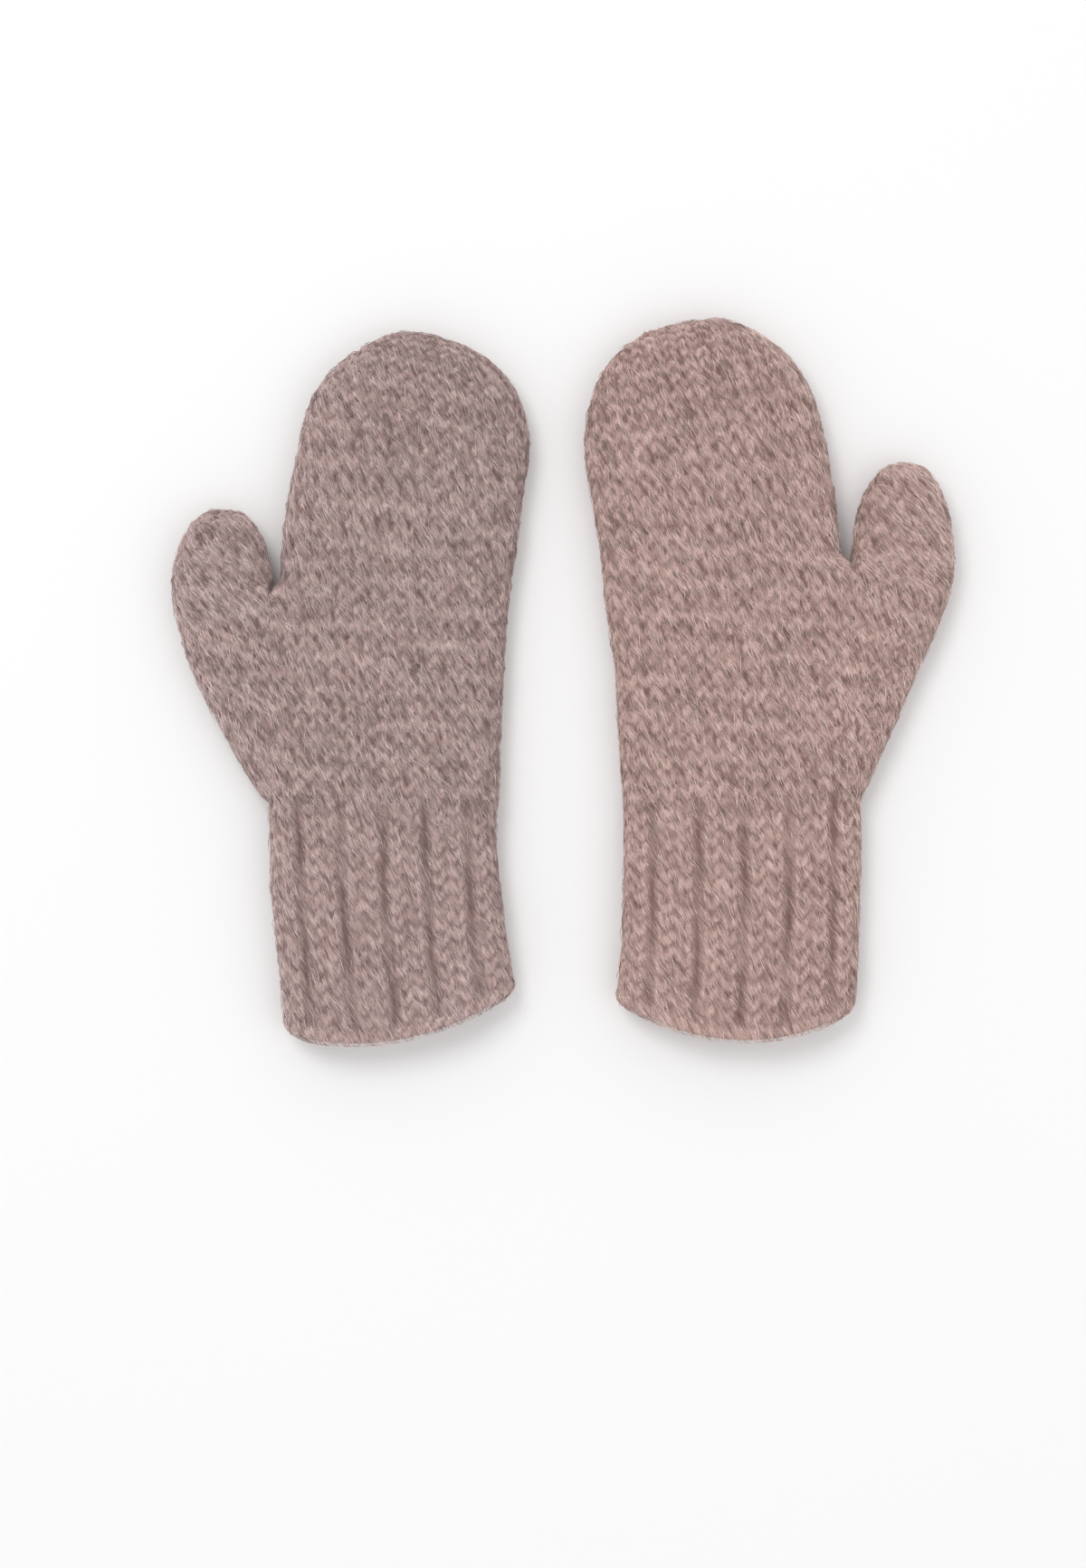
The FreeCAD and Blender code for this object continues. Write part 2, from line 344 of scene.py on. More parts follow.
# %% Cuff rows
def cuff_rows(m):
    """Points of the cuff with their distance from its middle line and from the hem."""
    level = levels(0.0, WRIST)
    drop = np.clip(1.0 - level / HEM_CORNER, 0.0, 1.0)
    half_width = m["half_width"] - HEM_CORNER * (1.0 - np.sqrt(1.0 - drop ** 2))
    section = pillow(half_width, HALF)
    run = section[2]
    x, z, wanted = spread(section, run[:, 0], run[:, -1], HAND_COLUMNS + BRIDGE_COLUMNS + 1)
    points = stand(hand_side(m, -1, level), hand_side(m, 1, level), x, z)
    hem = hem_height(m, points[..., 0])
    points[..., 1] += hem * (1.0 - level[:, None] / WRIST)
    up = level[:, None] * (WRIST - hem) / WRIST
    side = wanted - run[:, -1:] / 2
    return points[:, :-1], side[:, :-1], up[:, :-1]


# %% Palm and gusset rows
def palm_rows(m):
    """The palm and the gusset beside it, as one ring, from the wrist to the crotch."""
    corner = crotch(m)
    level = levels(WRIST, corner[1])
    little, hand_edge = hand_side(m, -1, level), hand_side(m, 1, level)
    outer = gusset_side(m, level)
    outer[:, 0] = np.maximum(outer[:, 0], hand_edge[:, 0])
    width = (outer - little)[:, 0]
    section = pillow(width / 2, HALF)
    run = section[2]
    share = smooth(WRIST, corner[1], level)
    seam = hand_edge[:, 0] - SEAM_INSET + share * (corner[0] - hand_edge[-1, 0] + SEAM_INSET)
    shift = (little + outer)[:, 0] / 2
    top = length_at(section, seam - shift, 2, 3)
    under = length_at(section, seam - shift, 3, 4)
    middle = (little + hand_edge)[:, 0] / 2 - shift
    face_middle = length_at(section, middle, 1, 3)
    hand = spread(section, under - run[:, -1], top, HAND_COLUMNS)
    gusset = spread(section, top, under, GUSSET_COLUMNS + 2)
    x = np.concatenate([hand[0], gusset[0][:, 1:-1]], axis=1)
    z = np.concatenate([hand[1], gusset[1][:, 1:-1]], axis=1)
    fold = run[:, 3 * QUARTER]
    side = np.concatenate([hand[2] - face_middle[:, None],
                           gusset[2][:, 1:-1] - fold[:, None]], axis=1)
    points = stand(little, outer, x, z)
    up = along_rows(level - WRIST, points)
    tilt_gusset(m, points, level, seam, outer[:, 0])
    return points, side, up


def tilt_gusset(m, points, level, seam, edge):
    """Tilts the gusset's share of each row, until the last one lies on the thumb's fold."""
    tilt = math.tan(THUMB_SPREAD) * smooth(WRIST + 25.0, crotch(m)[1], level)[:, None]
    beyond = np.maximum(points[..., 0] - seam[:, None], 0.0)
    new_y = points[..., 1] - tilt * beyond
    new_edge = gusset_side(m, new_y)[..., 0]
    scale = (new_edge - seam[:, None]) / (edge - seam)[:, None]
    keep = beyond <= 0.0
    points[..., 0] = np.where(keep, points[..., 0], seam[:, None] + beyond * scale)
    points[..., 1] = new_y


# %% Tubes above the crotch
def bridge(start, end):
    """Points on the straight line that closes a row at the crotch."""
    share = np.linspace(0.0, 1.0, BRIDGE_COLUMNS + 2)[1:-1, None]
    return start + (end - start) * share


def tube_section(section, reach, count, from_hand):
    """Closed rows in two shares: the long side that comes from below, and the bridge."""
    x, _, run = section
    total = run[:, -1]
    turn = x.max(axis=1) - reach
    if from_hand:
        top, under = length_at(section, turn, 2, 3), length_at(section, turn, 3, 4)
        long_part = spread(section, under - total, top, count)
        short_part = spread(section, top, under, BRIDGE_COLUMNS + 2)
    else:
        top = length_at(section, -turn, 1, 2)
        long_part = spread(section, top, total + (total / 2 - top), count)
        short_part = spread(section, total / 2 - top, top, BRIDGE_COLUMNS + 2)
    return [np.concatenate([a, b[:, 1:-1]], axis=1) for a, b in zip(long_part, short_part)]


def first_row(points_below, side_below):
    """The share of the last row below that goes on into a tube, closed by a bridge."""
    step = np.linspace(0.0, 1.0, BRIDGE_COLUMNS + 2)[1:-1] * 2 * HALF
    points = np.concatenate([points_below, bridge(points_below[-1], points_below[0])])
    return points, np.concatenate([side_below, side_below[-1] + step])


def join_at_crotch(first, points, side, rise):
    """Lets a tube's lowest rows grow out of the last row below the crotch."""
    first_points, first_side = first
    weight = smooth(0.0, CROTCH_BLEND, rise)[:, None, None]
    shift = points.mean(axis=1, keepdims=True) - points[:1].mean(axis=1, keepdims=True)
    grown = first_points[None] + shift
    mixed = grown * (1.0 - weight) + points * weight
    return mixed, first_side[None] * (1.0 - weight[..., 0]) + side * weight[..., 0]


def closing_section(little, far, closing, sharpness):
    """Sections that flatten and close towards a tip, and the reach of their bridges."""
    height = HALF * np.maximum(1.0 - closing ** sharpness, 1e-4) ** 0.45
    width = np.maximum(np.linalg.norm(far - little, axis=1) / 2, 0.05)
    return pillow(width, height), np.minimum(BRIDGE_REACH, 0.4 * width)


def hand_tube_rows(m, below):
    """Palm above the crotch, up to the knuckles' fold."""
    corner = crotch(m)
    level = levels(corner[1], m["knuckles"])
    section = pillow(np.full(len(level), m["half_width"]), HALF)
    x, z, wanted = tube_section(section, BRIDGE_REACH, HAND_COLUMNS, True)
    points = stand(hand_side(m, -1, level), hand_side(m, 1, level), x, z)
    side = wanted - section[2][:, -1:] / 2
    first = first_row(below[0][-1, :HAND_COLUMNS], below[1][-1, :HAND_COLUMNS])
    points, side = join_at_crotch(first, points, side, level - corner[1])
    return points, side, along_rows(level - WRIST, points)


def finger_rows(m):
    """Finger pocket and crown, from the knuckles to the closed tip."""
    centre, radius, lean = bow_circle(m)
    straight = levels(m["knuckles"], m["shoulder"])
    turn = np.linspace(0.0, 0.5 * math.pi, int(m["crown"] * CROWN_ROWS / GRID))[1:]
    ends = []
    for side in (-1, 1):
        arc = radius + side * m["half_width"]
        first = math.asin((m["knuckles"] - centre[1]) / arc)
        angle = first + (lean - first) * np.linspace(0.0, 1.0, len(straight))
        wall = centre + arc * np.stack([np.cos(angle), np.sin(angle)], axis=-1)
        ends.append(np.concatenate([wall, crown_side(m, side, turn)]))
    little, outer = ends
    closing = np.concatenate([np.zeros(len(straight)), np.sin(turn)])
    section, reach = closing_section(little, outer, closing, 8)
    x, z, wanted = tube_section(section, reach, HAND_COLUMNS, True)
    points = stand(little, outer, x, z)
    points[-1, :, :2] = little[-1] + x[-1][:, None] * directions(-lean)[1]
    side = wanted - section[2][:, -1:] / 2
    rise = running_length(points[:, HAND_COLUMNS // 2]) + m["knuckles"] - WRIST
    return points, side, along_rows(rise, points), closing


def thumb_rows(m, below):
    """Thumb from its fold to the closed tip."""
    edge = below[0][-1, HAND_COLUMNS:]
    outermost = edge[np.argmax(edge[:, 0])]
    turn = np.linspace(0.0, 0.5 * math.pi, 60)
    wall = gusset_side(m, np.linspace(outermost[1], m["thumb_at"][1], 12)[:-1])
    inner = np.concatenate([crotch(m)[None], thumb_side(m, -1, turn)])
    outer = np.concatenate([wall, thumb_side(m, 1, turn)])
    count = int(m["thumb_top"] * THUMB_ROWS / GRID)
    little, far = even_path(inner, count), even_path(outer, count)
    along, across = directions(math.radians(m["thumb_lean"]))
    closing = ((little + far) / 2 - np.array(m["thumb_at"])) @ along / m["thumb_top"]
    closing = np.clip(closing, 0.0, 1.0)
    section, reach = closing_section(little, far, closing, 6)
    x, z, wanted = tube_section(section, reach, GUSSET_COLUMNS, False)
    points = stand(little, far, x, z)
    points[-1, :, :2] = far[-1] + x[-1][:, None] * across
    side = wanted - section[2][:, 3 * QUARTER][:, None]
    first = first_row(edge, below[1][-1, HAND_COLUMNS:])
    travel = running_length((little + far) / 2)
    points, side = join_at_crotch(first, points, side, travel)
    return points, side, along_rows(travel + crotch(m)[1] - WRIST, points), closing


def even_path(path, count):
    """count points at even steps along a path in the plane."""
    run = running_length(path)
    wanted = np.linspace(0.0, run[-1], count)
    return np.stack([np.interp(wanted, run, path[:, 0]), np.interp(wanted, run, path[:, 1])],
                    axis=-1)


# %% [markdown]
# ## Stocking stitch, rib and cast-on as relief
# Every knitted stitch shows as a V: two plump legs of yarn that lean apart. Modelling each
# loop as a curve would take very many tubes, and the brushed nap hides most of them, so the
# stitches are raised on the surface instead. Each leg is an ellipsoid, and a point of the
# surface takes the height of the tallest leg over it. Rib is two columns of such stitches and
# then one column that sinks away, and the cast-on edge is a chain of slanted loops.
# %% Stitch relief
LEG_LENGTH = 4.4         # half length and half width of a stitch's leg
LEG_WIDTH = 1.65
LEG_SLANT = math.radians(27.0)
LEG_HEIGHT = 1.35
RIB_VALLEY = 2.4         # depth of the rib's valleys
RIB_GAP = 1.2            # the stitches start this far from a valley's middle
RIB_STITCH = 0.9         # height of the rib's stitches
RIB_WANDER = 0.4         # the rib strays less than the single stitches do
LOOP_WIDTH = 5.4         # one loop of the cast-on edge
DASH_LENGTH = 2.7        # reach of a dash of painted shade along the comb and across it
DASH_WIDTH = 0.8


def legs(side, up, wale):
    """Height of the V's legs on a fabric with stitches of the given width, from 0 to 1."""
    height = np.zeros(np.broadcast(side, up).shape)
    column = np.floor(side / wale)
    row = np.floor(up / ROW)
    for below in (-1, 0, 1):
        for leg in (-1, 1):
            dx = side - (column + 0.5 + leg * 0.25) * wale
            dy = up - (row + below + 0.5) * ROW
            lean = leg * LEG_SLANT
            length = dx * math.sin(lean) + dy * math.cos(lean)
            breadth = dx * math.cos(lean) - dy * math.sin(lean)
            inside = 1.0 - (length / LEG_LENGTH) ** 2 - (breadth / LEG_WIDTH) ** 2
            raised = np.sqrt(np.clip(inside, 0.0, 1.0)) * (1.0 - 0.16 * length / LEG_LENGTH)
            height = np.maximum(height, raised)
    return height


def wander(side, up):
    """The same places moved by a millimetre or so: hand-made stitches are never in line."""
    moved_side = side + 0.45 * np.sin(up / 5.3 + side / 21.0) + 0.3 * np.sin(up / 2.9 + 1.3)
    moved_up = up + 0.8 * np.sin(side / 8.7 + up / 31.0) + 0.5 * np.sin(side / 4.1 + 0.7)
    return moved_side, moved_up


def rib_places(m, side, up):
    """Distance from the rib's nearest valley, and height of the stitches between valleys."""
    moved_side, moved_up = wander(side, up)
    side = side + RIB_WANDER * (moved_side - side)
    offset = np.abs(np.mod(side + m["rib"] / 2, m["rib"]) - m["rib"] / 2)
    return offset, legs(offset - RIB_GAP, moved_up, m["rib"] / 2 - RIB_GAP)


def cast_on(side, up):
    """Height of the cast-on edge, a chain of slanted loops along the hem."""
    loop = np.abs(np.sin(math.pi * (side + 0.7 * up) / LOOP_WIDTH)) ** 0.7
    return 1.3 * loop * np.sqrt(np.clip(1.0 - ((up - 2.1) / 2.5) ** 2, 0.0, 1.0))


def swells(m, points):
    """Slow unevenness of hand-made fabric, a fraction of a millimetre high."""
    x, y = points[..., 0], points[..., 1] + 37.0 * m["side"]
    return (0.26 * np.sin(x / 9.0 + y / 17.0) + 0.22 * np.sin(x / 6.1 - y / 12.3 + 1.0)
            + 0.2 * np.sin(y / 7.7 + 0.6 * np.sin(x / 11.0)))


def plain_relief(side, up):
    """Stocking stitch all over."""
    return legs(*wander(side, up), WALE) * LEG_HEIGHT


def cuff_relief(m, side, up):
    """Rib from the hem to the wrist, the cast-on edge below it, stocking stitch at the top."""
    offset, stitch = rib_places(m, side, up)
    ridge = smooth(0.1, 3.0, offset)
    ribbed = (ridge - 1.0) * RIB_VALLEY + stitch * RIB_STITCH * (0.3 + 0.7 * ridge)
    share = smooth(WRIST - 5.0, WRIST - 0.5, up)
    knit = ribbed * (1.0 - share) + plain_relief(side, up - WRIST) * share
    edge = smooth(3.2, 5.0, up)
    return np.maximum(knit * edge - 0.5 * (1.0 - edge), cast_on(side, up))


def shade_dashes(side, up, lean):
    """Painted shade in short hollows, one to a stitch, drawn out along the comb, from 0 to 1."""
    side, up = wander(side, up)
    column, row = np.floor(side / WALE), np.floor(up / ROW)
    depth = 0.5 + 0.5 * np.sin(column * 12.9898 + row * 78.233)
    shift = np.sin(column * 39.3 + row * 11.1)
    dx = side - (column + 0.5 + 0.2 * shift) * WALE
    dy = up - (row + 0.5 + 0.2 * np.sin(column * 57.1 + row * 23.7)) * ROW
    along = dx * math.sin(lean) - dy * math.cos(lean)
    beside = dx * math.cos(lean) + dy * math.sin(lean)
    return depth * np.exp(-(along / DASH_LENGTH) ** 2 - (beside / DASH_WIDTH) ** 2)


def cuff_hollow_shade(m, side, up, lean):
    """Painted shade of the cuff: in the rib's valleys, between its stitches, and softer dashed
    shade on its ridges.
    """
    offset, stitch = rib_places(m, side, up)
    patchy = 0.66 + 0.34 * np.sin(up / 7.9 + np.floor(side / m["rib"] + 0.5) * 2.1)
    # Painted shade: darker in the rib's valleys and, with a wavering strength, between the
    # stitches.
    valley = np.exp(-(offset / 1.2) ** 2) * patchy * smooth(4.0, 8.0, up)
    brushed = 0.3 + 0.12 * np.sin(up / 5.1 + side / 6.3)
    between = brushed * np.clip(1.0 - stitch / 0.8, 0.0, 1.0) * smooth(3.5, 6.0, up)
    fade = 1.0 - smooth(WRIST - 12.0, WRIST + 1.0, up)
    dash_shade = shade_dashes(side, up, lean) * (1.0 - 0.7 * fade)
    dark = np.maximum(np.maximum(valley, between) * fade, dash_shade)
    return np.clip(dark, 0.0, 1.0)


def drift(m, points):
    """Slow drifts of the yarn's tone round 0, plus a step: lighter on the thumb, darker at the
    fingertips.
    """
    rng = np.random.default_rng(7 if m["side"] < 0 else 8)
    total = np.zeros(points.shape[:-1])
    for wave in range(14):
        angle = rng.random() * math.pi
        length = 5.0 + 11.0 * rng.random()
        phase = rng.random() * 2 * math.pi
        across = points[..., 0] * math.cos(angle) + points[..., 1] * math.sin(angle)
        total += np.sin(2 * math.pi * across / length + phase)
    lighter = 0.45 * smooth(55.0, 80.0, points[..., 0])
    darker = 0.8 * smooth(m["knuckles"], m["shoulder"] + 30.0, points[..., 1])
    return total / 3.0 + lighter - darker


def gathered_relief(side, up, closing, pleats):
    """Stocking stitch that ends in small pleats, where the last stitches are drawn closed."""
    turn = np.linspace(0.0, 2 * math.pi, side.shape[1], endpoint=False)[None]
    drawn = smooth(0.86, 0.985, closing)[:, None]
    fade = 1.0 - smooth(0.93, 1.0, closing)[:, None]
    return plain_relief(side, up) * fade + 0.7 * drawn * np.cos(pleats * turn) * fade


print(f"stitches {WALE} x {ROW} mm, relief {LEG_HEIGHT} mm")

# %% [markdown]
# ## From rows of points to a shell of fabric
# Once a section is a grid of points, its mesh is simple: each small square of the grid is a
# face. The relief moves every point along the surface's own direction, and the same height
# stays on the mesh as an attribute, so that the material can paint shade into the valleys.
# The lining is the same grid moved inwards; a rim of faces closes the shell at every open edge.
# %% Grid tools
LINING = 3.2             # the lining lies this deep below the stitches' base
FABRIC_CLEAR = 0.25      # lowest height of the fabric and of its hairs
HAIR_CLEAR = 0.15
DRIFT_SHARE = 0.13       # how much the drift of tone lightens or darkens the hairs
COMBED = np.array([0.45, -0.90, 0.0])          # the nap lies along this, in the pair's frame
THUMB_COMBED = np.array([0.66, -0.75, 0.0])


def outward(points):
    """Outward direction at each point of a closed ring grid."""
    side = np.roll(points, -1, axis=1) - np.roll(points, 1, axis=1)
    along = np.gradient(points, axis=0)
    normal = np.cross(side, along)
    return normal / np.maximum(np.linalg.norm(normal, axis=-1, keepdims=True), 1e-9)


def ring_faces(rows, columns):
    """Faces of a closed ring grid whose points are numbered row by row."""
    row = np.arange(rows - 1)[:, None] * columns
    column = np.arange(columns)[None]
    beside = (column + 1) % columns
    corners = [row + column, row + beside, row + columns + beside, row + columns + column]
    return np.stack(corners, axis=-1).reshape(-1, 4)


def rim_faces(faces, lining_start):
    """Faces that join each open edge of a surface to the same edge of its lining."""
    edges = np.concatenate([faces[:, [a, (a + 1) % 4]] for a in range(4)])
    keys = edges.min(axis=1).astype(np.int64) * (lining_start + 1) + edges.max(axis=1)
    _, first, times = np.unique(keys, return_index=True, return_counts=True)
    open_edges = edges[first[times == 1]]
    start, end = open_edges[:, 0], open_edges[:, 1]
    return np.stack([end, start, start + lining_start, end + lining_start], axis=-1)


def new_mesh(name, points, faces, values=None, vectors=None):
    """An object with smooth faces, from points in metres, a list of faces and attributes."""
    mesh = bpy.data.meshes.new(name)
    mesh.from_pydata(points.tolist(), [], faces)
    for label, data in (values or {}).items():
        layer = mesh.attributes.new(label, "FLOAT", "POINT")
        layer.data.foreach_set("value", np.asarray(data, np.float32).ravel())
    for label, data in (vectors or {}).items():
        layer = mesh.attributes.new(label, "FLOAT_VECTOR", "POINT")
        layer.data.foreach_set("vector", np.asarray(data, np.float32).ravel())
    mesh.polygons.foreach_set("use_smooth", np.ones(len(mesh.polygons), bool))
    mesh.update()
    piece = bpy.data.objects.new(name, mesh)
    bpy.context.scene.collection.objects.link(piece)
    return piece


def knit_piece(name, m, rings):
    """One section of knitting from its ring grids: outside with stitches, lining and rims.

    Each ring is (points, side, up, relief, thinning), and thinning is how much of the lining's
    depth its rows keep, because the fabric has to fit inside a closing tip. The result is the
    piece, and for each ring its points with the height and the darkness that lie on them.
    """
    lean = math.atan2(*(COMBED[:2] @ np.array([m["out"], -m["up"]]).T))
    outside, inside, heights, hollows, faces, surfaces = [], [], [], [], [], []
    start = 0
    for points, side, up, relief, thinning in rings:
        normal = outward(points)
        height = relief + swells(m, points)
        raised = points + normal * height[..., None]
        raised[..., 2] = np.clip(raised[..., 2], FABRIC_CLEAR, None)
        lining = points - normal * (LINING * thinning)[:, None, None]
        outside.append(raised.reshape(-1, 3))
        inside.append(lining.reshape(-1, 3))
        heights.append(relief.ravel())
        # The hollow attribute is painted shade: darkness in the rib's valleys and in the hollows
        # between stitches.
        if name.endswith("cuff_knitting"):
            hollow = cuff_hollow_shade(m, side, up, lean)
        else:
            hollow = shade_dashes(side, up, lean)
        hollows.append(hollow.ravel())
        faces.append(ring_faces(*points.shape[:2]) + start)
        # The hairs' darkness is the painted shade of the hollows, with the drift of tone.
        surfaces.append((points, height, hollow - DRIFT_SHARE * drift(m, points)))
        start += points.shape[0] * points.shape[1]
    outer_faces = np.concatenate(faces)
    rims = rim_faces(outer_faces, start)
    places = np.concatenate(outside + inside)
    corners = rims.ravel()
    own_rims = len(places) + np.arange(len(corners)).reshape(-1, 4)
    all_faces = np.concatenate([outer_faces, outer_faces[:, ::-1] + start, own_rims])
    if m["side"] < 0:
        all_faces = all_faces[:, ::-1]
    world = to_pair(m, np.concatenate([places, places[corners]]))
    values = {}
    for label, parts in (("relief", heights), ("hollow", hollows)):
        marks = np.concatenate([*parts, np.zeros(start)])
        values[label] = np.concatenate([marks, marks[corners]])
    piece = new_mesh(name, world, all_faces.tolist(), values, {"rest_place": world / MM})
    print(f"{name}: {len(world)} points, {len(all_faces)} faces")
    return piece, surfaces


# %% [markdown]
# ## Knitting the sections
# Four pieces make each mitten: the cuff with its cast-on edge, the hand with its gusset, the
# fingers' pocket with its crown, and the thumb. They meet at the joints' folds, and the CAD
# nodes that each one stands for are hidden further on.
# %% Four knitted pieces for each mitten
FINGER_PLEATS = 12
THUMB_PLEATS = 8
THINNEST = 0.03          # share of the lining's depth that is left at a closed tip


def knit_mitten(hand, m):
    """The pieces of one mitten and the smooth grids that the nap grows on."""
    cuff = cuff_rows(m)
    palm = palm_rows(m)
    tube = hand_tube_rows(m, palm)
    *fingers, finger_closing = finger_rows(m)
    *thumb, thumb_closing = thumb_rows(m, palm)
    finger_relief = gathered_relief(*fingers[1:], finger_closing, FINGER_PLEATS)
    thumb_relief = gathered_relief(*thumb[1:], thumb_closing, THUMB_PLEATS)
    rings = {
        "cuff": [(*cuff, cuff_relief(m, *cuff[1:]), np.ones(len(cuff[0])))],
        "hand": [(*grid, plain_relief(*grid[1:]), np.ones(len(grid[0])))
                 for grid in (palm, tube)],
        "fingers": [(*fingers, finger_relief, np.maximum(1.0 - finger_closing ** 6, THINNEST))],
        "thumb": [(*thumb, thumb_relief, np.maximum(1.0 - thumb_closing ** 4, THINNEST))],
    }
    pieces, grids = {}, {}
    for section, ring in rings.items():
        pieces[section], grids[section] = knit_piece(f"{hand}_{section}_knitting", m, ring)
    return pieces, grids


knitting, surfaces = {}, {}
for hand, m in MITTENS.items():
    knitting[hand], surfaces[hand] = knit_mitten(hand, m)

# %% [markdown]
# ## The nap
# The yarn is brushed, so fine hairs lie over the stitches, combed down and to one side, and
# stand a little proud along the edges. Blender's hair would do, but real meshes keep their
# shape in every program. Each hair is a closed, three-sided sliver that walks over the
# surface in two steps, and each step is pressed back onto the nearest point of the fabric.
# %% Hairs
from mathutils.kdtree import KDTree

HAIR_STEPS = 2
HAIR_THICK = 0.14
HAIR_TAPER = (0.5, 1.0, 0.3)
HAIR_LIFTS = (-0.15, 1.0, 0.75)      # a root below the surface, then up and a little down
HAIR_LENGTH = (3.5, 10.5)
HAIR_SCATTER = 0.35      # how far roots stray from the grid's points
HAIR_TURN = 0.2          # how much directions stray from the comb
UNDERSIDE_NAP = 0.25     # share of the hairs on the side that is laid down
EDGE_REACH = 1.1         # how far a hair may lie past the edge of the fabric
TONES = 6


def hair_ground(grids):
    """The places, directions, heights, darkness and areas of all the points of some grids."""
    parts = []
    for points, height, dark in grids:
        side = np.linalg.norm(np.roll(points, -1, axis=1) - points, axis=-1)
        along = np.linalg.norm(np.gradient(points, axis=0), axis=-1)
        parts.append((points.reshape(-1, 3), outward(points).reshape(-1, 3), height.ravel(),
                      dark.ravel(), (side * along).ravel()))
    return [np.concatenate(part) for part in zip(*parts)]


def plant_tree(places):
    """A search tree that finds the nearest point of the fabric."""
    tree = KDTree(len(places))
    for index, place in enumerate(places.tolist()):
        tree.insert(place, index)
    tree.balance()
    return tree


def comb(rng, section, ground, tree, count, combed):
    """Hairs as arrays, one row each: middle lines, outward directions, and darkness below."""
    starts, start_normals, start_heights, _, areas = section
    places, normals, heights, darkness, _ = ground
    weight = areas * np.where(start_normals[:, 2] < -0.4, UNDERSIDE_NAP, 1.0)
    chosen = rng.choice(len(starts), count, p=weight / weight.sum())
    wish = combed + rng.normal(0.0, HAIR_TURN, (count, 3))
    wish /= np.linalg.norm(wish, axis=1, keepdims=True)
    short, long = HAIR_LENGTH
    step = (short + (long - short) * rng.random(count) ** 1.6) / HAIR_STEPS
    place = starts[chosen] + rng.normal(0.0, HAIR_SCATTER, (count, 3))
    rise = 0.15 + 0.8 * rng.random(count) ** 2
    height = start_heights[chosen]
    path, sides, dark = [], [], []
    for lift in HAIR_LIFTS:
        nearest = np.array([tree.find(spot)[1] for spot in place.tolist()])
        direction = normals[nearest]
        offset = place - places[nearest]
        offset -= (offset * direction).sum(axis=1, keepdims=True) * direction
        size = np.maximum(np.linalg.norm(offset, axis=1, keepdims=True), 1e-6)
        place = places[nearest] + offset * np.minimum(1.0, EDGE_REACH / size)
        height = np.maximum(0.4 * height + 0.6 * heights[nearest], heights[nearest] - 0.2)
        path.append(place + direction * (height + rise * lift)[:, None])
        sides.append(direction)
        dark.append(darkness[nearest])
        forward = wish - (wish * direction).sum(axis=1, keepdims=True) * direction
        forward /= np.maximum(np.linalg.norm(forward, axis=1, keepdims=True), 1e-6)
        place = place + forward * step[:, None]
    return np.stack(path, axis=1), np.stack(sides, axis=1), dark[1]


def sliver_faces(count):
    """Faces of closed three-sided slivers with HAIR_STEPS + 1 rings each."""
    sides = []
    for ring in range(HAIR_STEPS):
        for side in range(3):
            near, far = 3 * ring + side, 3 * ring + (side + 1) % 3
            sides.append([near, far, far + 3, near + 3])
    last = 3 * HAIR_STEPS
    caps = [[2, 1, 0], [last, last + 1, last + 2]]
    first_points = (last + 3) * np.arange(count)[:, None, None]
    return [(np.array(faces)[None] + first_points).reshape(-1, len(faces[0]))
            for faces in (sides, caps)]


def nap_piece(name, m, section, ground, tree, count, combed, seed):
    """One mesh with all the hairs of a section, in a few tones."""
    rng = np.random.default_rng(seed)
    local = np.array([combed[:2] @ m["out"], combed[:2] @ m["up"], 0.0])
    path, normals, dark = comb(rng, section, ground, tree, count, local)
    forward = np.gradient(path, axis=1)
    forward /= np.maximum(np.linalg.norm(forward, axis=-1, keepdims=True), 1e-9)
    beside = np.cross(forward, normals)
    beside /= np.maximum(np.linalg.norm(beside, axis=-1, keepdims=True), 1e-9)
    above = np.cross(beside, forward)
    taper = np.array(HAIR_TAPER)[None, :, None]
    thick = HAIR_THICK * (0.7 + 0.6 * rng.random(count))[:, None, None] * taper
    rings = []
    for corner in range(3):
        angle = 2 * math.pi * corner / 3
        rings.append(path + thick * (math.cos(angle) * beside + math.sin(angle) * above))
    points = np.stack(rings, axis=2).reshape(-1, 3)
    points[:, 2] = np.clip(points[:, 2], HAIR_CLEAR, None)
    quads, caps = sliver_faces(count)
    if m["side"] < 0:
        quads, caps = quads[:, ::-1], caps[:, ::-1]
    piece = new_mesh(name, to_pair(m, points), quads.tolist() + caps.tolist())
    # Hairs over the hollows take darker tones: painted shade, beside their random tones and the
    # drift of tone.
    share = np.clip(0.2 + 0.8 * rng.random(count) - 0.85 * dark, 0.0, 0.999)
    tone = np.floor(share * TONES).astype(int)
    per_hair = np.concatenate([np.repeat(tone, 3 * HAIR_STEPS), np.repeat(tone, 2)])
    piece.data.polygons.foreach_set("material_index", per_hair.astype(np.int32))
    print(f"{name}: {count} hairs")
    return piece


# %% Nap on every section
HAIRS = {"cuff": 5200, "hand": 12500, "fingers": 8600, "thumb": 2900}
naps = {}
for order, (hand, m) in enumerate(MITTENS.items()):
    naps[hand] = {}
    ground = hair_ground([grid for grids in surfaces[hand].values() for grid in grids])
    tree = plant_tree(ground[0])
    for place, (section, grids) in enumerate(surfaces[hand].items()):
        combed = THUMB_COMBED if section == "thumb" else COMBED
        naps[hand][section] = nap_piece(f"{hand}_{section}_nap", m, hair_ground(grids), ground,
                                        tree, HAIRS[section], combed, 100 * order + place)

